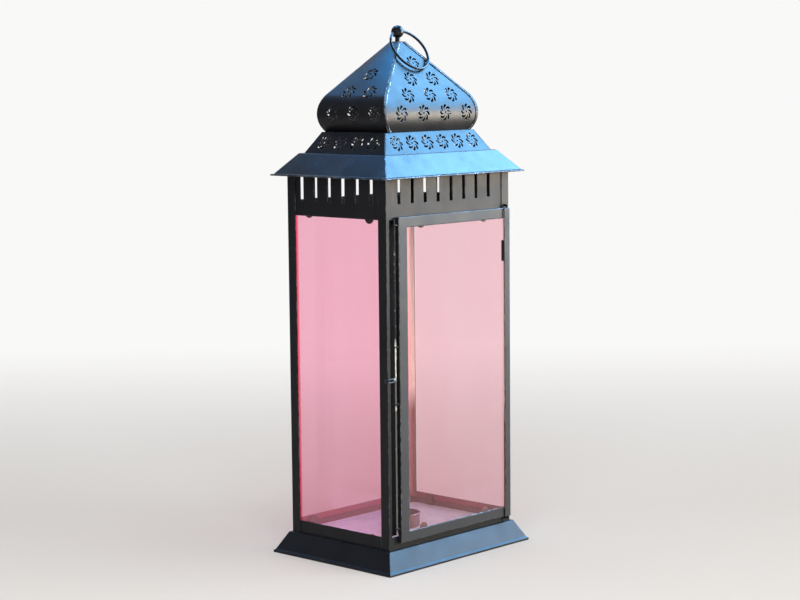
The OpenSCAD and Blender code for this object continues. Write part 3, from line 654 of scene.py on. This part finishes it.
def ranged(add, link, value, lo, hi, to_lo=0.0, to_hi=1.0):
    node = add("MapRange")
    link(value, node.inputs["Value"])
    for key, v in (("From Min", lo), ("From Max", hi), ("To Min", to_lo), ("To Max", to_hi)):
        node.inputs[key].default_value = v
    return node.outputs["Result"]


def times(add, link, a, b, operation="MULTIPLY"):
    node = add("Math", operation=operation)
    for k, v in enumerate((a, b)):
        if isinstance(v, (int, float)):
            node.inputs[k].default_value = v
        else:
            link(v, node.inputs[k])
    return node.outputs[0]


def mixed(add, link, factor, a, b):
    node = add("Mix", data_type="RGBA")
    link(factor, node.inputs["Factor"])
    for key, v in (("A", a), ("B", b)):
        sockets = [s for s in node.inputs if s.name == key and s.type == "RGBA"]
        if isinstance(v, tuple):
            sockets[0].default_value = (*v, 1)
        else:
            link(v, sockets[0])
    return [s for s in node.outputs if s.type == "RGBA"][0]


def texture(add, link, coords, scale, detail=2.0, stretch=None):
    node = add("TexNoise")
    node.inputs["Scale"].default_value = scale
    node.inputs["Detail"].default_value = detail
    if stretch:
        mapping = add("Mapping")
        mapping.inputs["Scale"].default_value = stretch
        link(coords, mapping.inputs["Vector"])
        coords = mapping.outputs["Vector"]
    link(coords, node.inputs["Vector"])
    return node.outputs["Fac"]


def enamel(name, wear_and_highlight=1.0, dark=(0.004, 0.0045, 0.006), pale=(0.007, 0.0075, 0.0095), rough=(0.42, 0.52),
           bevel=0.0007, dust=0.3, gloss=0.25, lit_bare_inside=False,
           bare_and_highlight=STEEL, foot_colour=None):
    """Black enamel on sheet steel: satin, a little uneven, rubbed through along the edges. Given a pale
    bluish edge colour, the rubbed edges are also a painted highlight.
    """
    mat, out, add, link = new_material(name)
    coords = add("TexCoord").outputs["Object"]
    surface = add("Bevel", samples=6)
    surface.inputs["Radius"].default_value = bevel
    geometry = add("NewGeometry")
    dot = add("VectorMath", operation="DOT_PRODUCT")
    link(surface.outputs["Normal"], dot.inputs[0])
    link(geometry.outputs["Normal"], dot.inputs[1])
    edge = ranged(add, link, dot.outputs["Value"], 0.985, 0.80)
    patchy = ranged(add, link, texture(add, link, coords, 160, 4), 0.42, 0.62)
    wide = ranged(add, link, texture(add, link, coords, 22, 2), 0.35, 0.65, 0.35, 1.0)
    worn_and_highlit = times(add, link, times(add, link, edge, patchy), times(add, link, wide, wear_and_highlight))
    chips = add("TexVoronoi")
    chips.inputs["Scale"].default_value = 95
    link(coords, chips.inputs["Vector"])
    near = ranged(add, link, chips.outputs["Distance"], 0.07, 0.04)
    sparse = ranged(add, link, texture(add, link, coords, 31, 1), 0.68, 0.71)
    worn_and_highlit = times(add, link, worn_and_highlit, times(add, link, times(add, link, near, sparse), 0.8 * wear_and_highlight), "MAXIMUM")
    cloud = ranged(add, link, texture(add, link, coords, 18, 4), 0.35, 0.65)
    paint = mixed(add, link, cloud, dark, pale)
    up = add("SeparateXYZ")
    link(geometry.outputs["Normal"], up.inputs[0])
    lying = times(add, link, ranged(add, link, up.outputs["Z"], 0.55, 1.0), 0.16 * dust)
    specks = ranged(add, link, texture(add, link, coords, 420, 3), 0.45, 0.75)
    dusty = mixed(add, link, times(add, link, lying, specks), paint, DUST)
    colour = mixed(add, link, worn_and_highlit, dusty, bare_and_highlight)
    metal = times(add, link, worn_and_highlit, 0.75)
    if lit_bare_inside:
        face_in = add("VectorMath", operation="MULTIPLY")
        link(coords, face_in.inputs[0])
        link(geometry.outputs["Normal"], face_in.inputs[1])
        parts = add("SeparateXYZ")
        link(face_in.outputs["Vector"], parts.inputs[0])
        inner = times(add, link, ranged(add, link, parts.outputs["X"], *INNER_X),
                      ranged(add, link, parts.outputs["Y"], *INNER_Y), "MAXIMUM")
        height = add("SeparateXYZ")
        link(coords, height.inputs[0])
        # Inner faces of posts and rails: bare sheet made pale, partly painted light falling in, turning brown
        # lower down as painted shade.
        lit_and_shaded_sheet = mixed(add, link, texture(add, link, coords, 60, 3), *LIT_BARE_SHEET)
        shade_below = ranged(add, link, height.outputs["Z"], *POST_SHADE_LINE)
        lit_and_shaded_sheet = mixed(add, link, shade_below, lit_and_shaded_sheet, SHADE_BROWN)
        colour = mixed(add, link, inner, colour, lit_and_shaded_sheet)
        metal = times(add, link, metal, times(add, link, inner, 0.12), "MAXIMUM")
    # Towards the foot the colour turns a darker brown-red.
    if foot_colour:
        level = add("SeparateXYZ")
        link(coords, level.inputs[0])
        colour = mixed(add, link, ranged(add, link, level.outputs["Z"], *CLIP_FOOT_Z), colour, foot_colour)
    shine = ranged(add, link, texture(add, link, coords, 55, 5), 0.3, 0.7, rough[0], rough[1])
    peel = add("Bump")
    peel.inputs["Strength"].default_value = 0.25
    peel.inputs["Distance"].default_value = 0.00006
    link(texture(add, link, coords, 900, 2), peel.inputs["Height"])
    link(surface.outputs["Normal"], peel.inputs["Normal"])
    dents = add("Bump")
    dents.inputs["Strength"].default_value = 0.35
    dents.inputs["Distance"].default_value = 0.0012
    link(texture(add, link, coords, 26, 1), dents.inputs["Height"])
    link(peel.outputs["Normal"], dents.inputs["Normal"])
    shader = add("BsdfPrincipled")
    shader.inputs["IOR"].default_value = 1.45
    shader.inputs["Specular IOR Level"].default_value = gloss
    link(colour, shader.inputs["Base Color"])
    link(shine, shader.inputs["Roughness"])
    link(metal, shader.inputs["Metallic"])
    link(dents.outputs["Normal"], shader.inputs["Normal"])
    link(shader.outputs[0], out.inputs["Surface"])
    return mat


def bare_wire(name, low, high, knock):
    """Spring wire: rubbed bright between two heights where fingers take it and at one knock, dull below."""
    mat, out, add, link = new_material(name)
    coords = add("TexCoord").outputs["Object"]
    axes = add("SeparateXYZ")
    link(coords, axes.inputs[0])
    soft = texture(add, link, coords, 240, 4)
    rise = ranged(add, link, axes.outputs["Z"], low - 0.004, low + 0.003)
    fall = ranged(add, link, axes.outputs["Z"], high + 0.004, high - 0.003)
    upright = ranged(add, link, axes.outputs["X"], *WIRE_UPRIGHT)
    rubbed = times(add, link, times(add, link, rise, fall), upright)
    spots = ranged(add, link, soft, 0.30, 0.44)
    dull = times(add, link, ranged(add, link, axes.outputs["Z"], low + 0.004, low - 0.004, 0, 0.16), upright)
    off = times(add, link, times(add, link, axes.outputs["Z"], knock, "SUBTRACT"), 0.0, "ABSOLUTE")
    dull = times(add, link, dull, ranged(add, link, off, 0.0035, 0.0015), "MAXIMUM")
    flecks = ranged(add, link, texture(add, link, coords, 150, 3), 0.60, 0.68, 0, 0.5)
    worn_spots = times(add, link, rubbed, spots)
    bright = times(add, link, worn_spots, times(add, link, flecks, dull, "MAXIMUM"), "MAXIMUM")
    colour = mixed(add, link, bright, WIRE_DULL, WIRE_BRIGHT)
    shader = add("BsdfPrincipled")
    shader.inputs["Specular IOR Level"].default_value = 0.2
    link(colour, shader.inputs["Base Color"])
    link(times(add, link, bright, 0.9), shader.inputs["Metallic"])
    link(ranged(add, link, soft, 0.3, 0.7, 0.25, 0.42), shader.inputs["Roughness"])
    link(shader.outputs[0], out.inputs["Surface"])
    return mat


def spun_metal(name, dark, pale, metallic, rough, scale=900):
    mat, out, add, link = new_material(name)
    coords = add("TexCoord").outputs["Object"]
    fine = texture(add, link, coords, scale, 2, (0.15, 0.15, 1.0))
    wide = texture(add, link, coords, 45, 4)
    colour = mixed(add, link, ranged(add, link, wide, 0.3, 0.7), dark, pale)
    bump = add("Bump")
    bump.inputs["Strength"].default_value = 0.15
    bump.inputs["Distance"].default_value = 0.00005
    link(fine, bump.inputs["Height"])
    shader = add("BsdfPrincipled")
    shader.inputs["Metallic"].default_value = metallic
    link(colour, shader.inputs["Base Color"])
    link(ranged(add, link, wide, 0.3, 0.7, rough - 0.08, rough + 0.1), shader.inputs["Roughness"])
    link(bump.outputs["Normal"], shader.inputs["Normal"])
    link(shader.outputs[0], out.inputs["Surface"])
    return mat


def tray_metal(name, floor_top):
    """The tray: its floor is zinc-coated sheet with a faint spangle, tinted violet as painted pink light from
    the glass; its upturned wall is dark brown-red.
    """
    mat, out, add, link = new_material(name)
    coords = add("TexCoord").outputs["Object"]
    axes = add("SeparateXYZ")
    link(coords, axes.inputs[0])
    wall = ranged(add, link, axes.outputs["Z"], floor_top + 0.0003, floor_top + 0.0009)
    spangle = add("TexVoronoi")
    spangle.inputs["Scale"].default_value = 260
    link(coords, spangle.inputs["Vector"])
    cells = add("SeparateXYZ")
    link(spangle.outputs["Color"], cells.inputs[0])
    wide = texture(add, link, coords, 14, 4)
    # The zinc is tinted violet: painted pink light from the glass.
    pink_lit_zinc = mixed(add, link, cells.outputs["X"], *PINK_LIT_SPANGLE)
    stained = mixed(add, link, ranged(add, link, wide, 0.55, 0.75, 0, 0.5), pink_lit_zinc, TRAY_STAIN)
    shader = add("BsdfPrincipled")
    link(mixed(add, link, wall, stained, TRAY_WALL), shader.inputs["Base Color"])
    shader.inputs["Metallic"].default_value = 0.08
    shader.inputs["Specular IOR Level"].default_value = 0.2
    link(ranged(add, link, wide, 0.3, 0.7, 0.42, 0.56), shader.inputs["Roughness"])
    link(shader.outputs[0], out.inputs["Surface"])
    return mat


def tinted_glass(name, tint, veil, ends=None):
    """A flat pane: it tints what is behind it, mirrors by Fresnel, and has a thin veil of dust."""
    mat, out, add, link = new_material(name)
    coords = add("TexCoord").outputs["Object"]
    geometry = add("NewGeometry")
    clear = add("BsdfTransparent")
    streaks = texture(add, link, coords, 30, 4, (1.0, 1.0, 0.10))
    colour = mixed(add, link, ranged(add, link, streaks, 0.3, 0.7), tint,
                   tuple(min(1.0, c * 1.025) for c in tint))
    if ends:
        axes, facing = add("SeparateXYZ"), add("SeparateXYZ")
        link(coords, axes.inputs[0])
        link(geometry.outputs["Normal"], facing.inputs[0])
        near_x = times(add, link, axes.outputs["X"], 0.0, "ABSOLUTE")
        end_x = times(add, link, ranged(add, link, near_x, ends[0] - GLOW_DEPTH, ends[0]),
                      times(add, link, facing.outputs["Y"], 0.0, "ABSOLUTE"))
        end_y = times(add, link, ranged(add, link, axes.outputs["Y"], ends[1] - GLOW_DEPTH, ends[1]),
                      times(add, link, facing.outputs["X"], 0.0, "ABSOLUTE"))
        # Painted glow: the tint turns deep red near the panes' ends.
        glow = times(add, link, times(add, link, end_x, end_y, "MAXIMUM"),
                     ranged(add, link, axes.outputs["X"], 0.0, -0.01))
        colour = mixed(add, link, times(add, link, glow, 0.75), colour, RED_END)
        # Painted highlight: a thin band near one pane's end lets the background through almost untinted.
        end_highlight = times(add, link, ranged(add, link, axes.outputs["Y"], *PALE_FROM),
                         ranged(add, link, axes.outputs["Y"], *PALE_TO))
        end_highlight = times(add, link, end_highlight, ranged(add, link, axes.outputs["X"], 0.0, 0.01))
        colour = mixed(add, link, end_highlight, colour, END_HIGHLIGHT)
    link(colour, clear.inputs["Color"])
    film = add("BsdfTranslucent")
    film.inputs["Color"].default_value = GLASS_FILM
    skin = add("BsdfDiffuse")
    skin.inputs["Color"].default_value = GLASS_DUST
    both = add("MixShader")
    link(film.outputs[0], both.inputs[1])
    link(skin.outputs[0], both.inputs[2])
    cloudy = add("MixShader")
    dusty = ranged(add, link, texture(add, link, coords, 12, 5), 0.3, 0.75, veil * 0.5, veil * 1.5)
    link(dusty, cloudy.inputs[0])
    link(clear.outputs[0], cloudy.inputs[1])
    link(both.outputs[0], cloudy.inputs[2])
    gloss = add("BsdfGlossy")
    gloss.inputs["Roughness"].default_value = 0.03
    waves = add("Bump")
    waves.inputs["Strength"].default_value = 0.10
    waves.inputs["Distance"].default_value = 0.0008
    link(texture(add, link, coords, 20, 1), waves.inputs["Height"])
    link(waves.outputs["Normal"], gloss.inputs["Normal"])
    fresnel = add("Fresnel")
    fresnel.inputs["IOR"].default_value = 1.5
    facing_out = times(add, link, 1.0, geometry.outputs["Backfacing"], "SUBTRACT")
    front = times(add, link, fresnel.outputs[0], facing_out)
    top = add("MixShader")
    link(times(add, link, front, 0.85), top.inputs[0])
    link(cloudy.outputs[0], top.inputs[1])
    link(gloss.outputs[0], top.inputs[2])
    link(top.outputs[0], out.inputs["Surface"])
    return mat


black = enamel("black_enamel")
# The frame's inner faces are pale above and brown below: painted light and painted shade.
frame_black = enamel("frame_enamel", lit_bare_inside=True)
door_black = enamel("door_enamel", bevel=0.0016, rough=(0.48, 0.58), gloss=0.47)
roof_black = enamel("roof_enamel", wear_and_highlight=0.8, rough=(0.30, 0.40), bevel=0.0005)
# On the seams and the eave's rim the rubbed edges take a pale bluish colour: a painted highlight of the sky
# on the rounded edges, over real wear.
seam_black = enamel("seam_enamel", wear_and_highlight=3.0, rough=(0.34, 0.46), bevel=0.0011, bare_and_highlight=(0.72, 0.76, 0.82))
eave_black = enamel("eave_enamel", wear_and_highlight=3.5, rough=(0.21, 0.29), bevel=0.0011, bare_and_highlight=(0.50, 0.62, 0.78))
clip_black = enamel("clip_enamel", foot_colour=(0.20, 0.10, 0.095))
# The stop strip's enamel is nearly glossless and free of dust: painted shade for the deep gap beside the
# door.
stop_black = enamel("stop_enamel", wear_and_highlight=0.3, rough=(0.5, 0.6), dust=0.0, gloss=0.05)
wire_black = enamel("wire_enamel", wear_and_highlight=0.5, rough=(0.26, 0.38), bevel=0.0003, gloss=0.32)
pink = tinted_glass("pink_glass", (0.999, 0.832, 0.884), 0.03, GLASS_ENDS)
pink_door = tinted_glass("door_glass", (1.0, 0.935, 0.922), 0.03)
spring = bare_wire("spring_wire", *WIRE_RUBBED, WIRE_KNOCK)
tray = tray_metal("tray_zinc", FLOOR_TOP)
cup_metal = spun_metal("cup_metal", (0.24, 0.12, 0.12), (0.34, 0.18, 0.17), 0.35, 0.40)
zinc = spun_metal("zinc", (0.40, 0.40, 0.41), (0.56, 0.56, 0.57), 0.95, 0.36)

by_slot = {"black_enamel": black, "black_wire": wire_black, "pink_glass": pink, "door_glass": pink_door,
           "spring_wire": spring, "cup_metal": cup_metal, "zinc": zinc}
for part in frame["record"]["subparts"]:
    obj = nodes[part["node"]]
    mat = by_slot[part["material_slot"]]
    for slot in obj.material_slots:
        slot.material = mat
looks = {"ring_handle": wire_black, "finial_ball": wire_black, "finial_stud": wire_black, "floor_tray": tray,
         "door_frame": door_black}
for name in nodes:
    if name.startswith(("post_", "rail_")):
        looks[name] = frame_black
    elif name.startswith("clips_") or name == "door_clips":
        looks[name] = clip_black
for name, mat in looks.items():
    for slot in nodes[name].material_slots:
        slot.material = mat


# The roof and the base
for side in range(4):
    dome_panel(side, roof_black)
    tier_panel(side, roof_black)
    vent_panel(side, black)

make_ring(wire_black)
rolled_stile(door_black)
cut_post("post_front_right", False, SIDE_LEG, POST_TAB, frame_black)
cut_post("post_back_right", True, JAMB_W, None, frame_black)
stop_strip(stop_black)

# Outset from the body and height, from the ledge round the hem to the inner flange
skirt = [(LEDGE, BASE_H), (FLARE - 0.3, HEM_H + 1.9), (FLARE + HEM_W, HEM_H - 0.2), (FLARE + HEM_W, 0.0),
         (FLARE - HEM_W, 0.0), (FLARE - HEM_W, HEM_H - 0.4), (LEDGE - 0.95, BASE_H - SHEET),
         (-2 * SHEET, BASE_H - SHEET), (-2 * SHEET, BASE_H)]
folded_skirt("base_skirt_fold", "base_skirt", skirt, [1.0, 0.3, 0.5, 0.9, 0.4, 0, 0.4, 0, 0], black, 0.35)
wall = SHEET * math.hypot(EAVE_OUT + EAVE_IN, EAVE_H) / EAVE_H
inset = EAVE_IN + TIER_STEP + 6
# Outset and height, from the rim round to the inner flange and the roof's outer face
hood = [(EAVE_OUT + 0.2, EAVE_Z + 1.8), (EAVE_OUT + 1.0, EAVE_Z + 1.5), (EAVE_OUT + 1.0, EAVE_Z),
        (EAVE_OUT - wall, EAVE_Z), (-EAVE_IN - wall * 0.5, TIER_Z - SHEET), (-inset, TIER_Z - SHEET),
        (-inset, TIER_Z), (-EAVE_IN, TIER_Z), (EAVE_OUT - 1.9, EAVE_Z + 2.1)]
folded_skirt("eave_fold", "eave", hood, [0.5, 0.5, 0.5, 0.2, 0.3, 0, 0, 1.2, 0.4], eave_black, 0.35)


# The stage
AWAY = Vector((0.7327, 0.6805, 0))       # level, straight away from the camera
ACROSS = Vector((0.6805, -0.7327, 0))    # level, across its view
# The sweep in metres: floor's near and far edge, radius of the bend, top of the backdrop, half width
FLOOR_NEAR, FLOOR_FAR, BEND_R, STAGE_TOP, STAGE_HALF = -6.0, 1.4, 1.6, 5.0, 7.0
STAGE_PALE, BACKDROP_GLOW, CARD_GREY = (0.80, 0.795, 0.79), (0.95, 0.945, 0.94), (0.22, 0.22, 0.24)


def seen(add, link):
    """1 where the camera, a mirror or glass looks, 0 where light falls."""
    path = add("LightPath")
    both = times(add, link, path.outputs["Is Camera Ray"], path.outputs["Is Glossy Ray"], "MAXIMUM")
    return times(add, link, both, path.outputs["Is Transmission Ray"], "MAXIMUM")


def stage_material(name, colour, glow):
    """Pale matt sweep. Behind the lantern it turns into an even backdrop; near it, it keeps the shadow."""
    mat, out, add, link = new_material(name)
    coords = add("TexCoord").outputs["Object"]
    shade = mixed(add, link, ranged(add, link, texture(add, link, coords, 1.3, 3), 0.3, 0.7),
                  colour, tuple(c * 0.97 for c in colour))
    shader = add("BsdfPrincipled")
    shader.inputs["Roughness"].default_value = 0.9
    shader.inputs["Specular IOR Level"].default_value = 0.0
    link(shade, shader.inputs["Base Color"])
    away = add("VectorMath", operation="DOT_PRODUCT")
    away.inputs[1].default_value = AWAY
    link(coords, away.inputs[0])
    behind = ranged(add, link, away.outputs["Value"], 0.20, 1.6)
    even = add("Emission")
    even.inputs["Color"].default_value = (*glow, 1)
    mix = add("MixShader")
    link(times(add, link, behind, seen(add, link)), mix.inputs[0])
    link(shader.outputs[0], mix.inputs[1])
    link(even.outputs[0], mix.inputs[2])
    link(mix.outputs[0], out.inputs["Surface"])
    return mat


def make_stage():
    """A pale floor that sweeps up into a backdrop behind the lantern, square to the camera."""
    section = [(FLOOR_NEAR, 0.0), (FLOOR_FAR, 0.0)]
    for i in range(1, 17):
        a = math.pi / 2 * i / 16
        section.append((FLOOR_FAR + BEND_R * math.sin(a), BEND_R - BEND_R * math.cos(a)))
    section.append((FLOOR_FAR + BEND_R, STAGE_TOP))
    verts, faces = [], []
    for d, z in section:
        for w in (-STAGE_HALF, STAGE_HALF):
            p = AWAY * d + ACROSS * w
            verts.append((p.x * 1000, p.y * 1000, z * 1000))
    for i in range(len(section) - 1):
        faces.append([2 * i, 2 * i + 1, 2 * i + 3, 2 * i + 2])
    pale = stage_material("stage_pale", STAGE_PALE, BACKDROP_GLOW)
    obj = mesh_object("stage_sweep", verts, faces, pale, 80)


def make_flag(place, across, width, heights):
    """A dark grey card out of the camera's view, seen only in the gloss of the paint and the glass."""
    verts = [((place[0] + across[0] * w) * 1000, (place[1] + across[1] * w) * 1000, z * 1000)
             for z in heights for w in (-width / 2, width / 2)]
    obj = mesh_object("stage_flag", verts, [[0, 1, 3, 2]], stage_material("stage_dark", CARD_GREY, CARD_GREY))
    obj.visible_camera = obj.visible_diffuse = obj.visible_transmission = obj.visible_shadow = False


def area_light(name, place, target, size, radiance, colour, shows="both"):
    """shows says whether the lamp is for shading, for reflections, or for both."""
    data = bpy.data.lights.new(name, "AREA")
    data.shape = "RECTANGLE"
    data.size, data.size_y = size
    data.energy = radiance * math.pi * size[0] * size[1]
    data.color = colour
    obj = bpy.data.objects.new(name, data)
    obj.location = place
    obj.rotation_euler = (Vector(place) - Vector(target)).to_track_quat("Z", "Y").to_euler()
    obj.visible_diffuse = shows != "gloss"
    obj.visible_glossy = shows != "shade"
    bpy.context.collection.objects.link(obj)


def make_world():
    """Plain light on the object. Camera, gloss and glass see a sky: pale, darker above, one blue patch."""
    world = bpy.data.worlds.new("world")
    bpy.context.scene.world = world
    world.use_nodes = True
    add, link = node_tools(world.node_tree)
    lit, shown = add("Background"), add("Background")
    lit.inputs["Color"].default_value = (1.0, 0.97, 0.94, 1)
    lit.inputs["Strength"].default_value = 0.45
    heading = add("SeparateXYZ")
    link(add("TexCoord").outputs["Generated"], heading.inputs[0])
    low_rise = ranged(add, link, heading.outputs["Z"], 0.12, 0.42)
    low_sky = mixed(add, link, low_rise, (0.66, 0.70, 0.76), (0.10, 0.15, 0.26))
    high_rise = ranged(add, link, heading.outputs["Z"], 0.64, 0.78)
    high_sky = mixed(add, link, high_rise, low_sky, (0.20, 0.32, 0.65))
    patch = times(add, link, ranged(add, link, heading.outputs["X"], -0.05, 0.13),
                  ranged(add, link, heading.outputs["Y"], 0.15, 0.45))
    patch = times(add, link, patch, ranged(add, link, heading.outputs["Z"], 0.58, 0.70))
    link(mixed(add, link, patch, high_sky, (2.0, 17.0, 42.0)), shown.inputs["Color"])
    pick = add("MixShader")
    link(seen(add, link), pick.inputs[0])
    link(lit.outputs[0], pick.inputs[1])
    link(shown.outputs[0], pick.inputs[2])
    link(pick.outputs[0], add("OutputWorld").inputs[0])


make_stage()
make_flag(place=(-1.10, 1.04), across=(0.6805, 0.7327), width=1.8, heights=(0.02, 0.85))
area_light("sky_box", place=(1.40, -0.72, 1.36), target=(0, 0, 0.45), size=(1.5, 1.22),
           radiance=32.0, colour=(0.20, 0.55, 1.0), shows="gloss")
area_light("side_box", place=(1.60, -1.52, 0.53), target=(0, 0, 0.3), size=(1.7, 0.50),
           radiance=28.0, colour=(1.0, 0.87, 0.68), shows="gloss")
area_light("key_soft", place=(0.9, -1.8, 2.8), target=(0, 0, 0.2), size=(2.4, 2.4),
           radiance=1.7, colour=(1.0, 0.98, 0.95), shows="shade")
area_light("front_soft", place=(-1.7, -1.6, 1.3), target=(0, 0, 0.2), size=(1.7, 1.5),
           radiance=6.5, colour=(1.0, 0.98, 0.96), shows="shade")
make_world()
bpy.context.scene.view_settings.view_transform = "Standard"
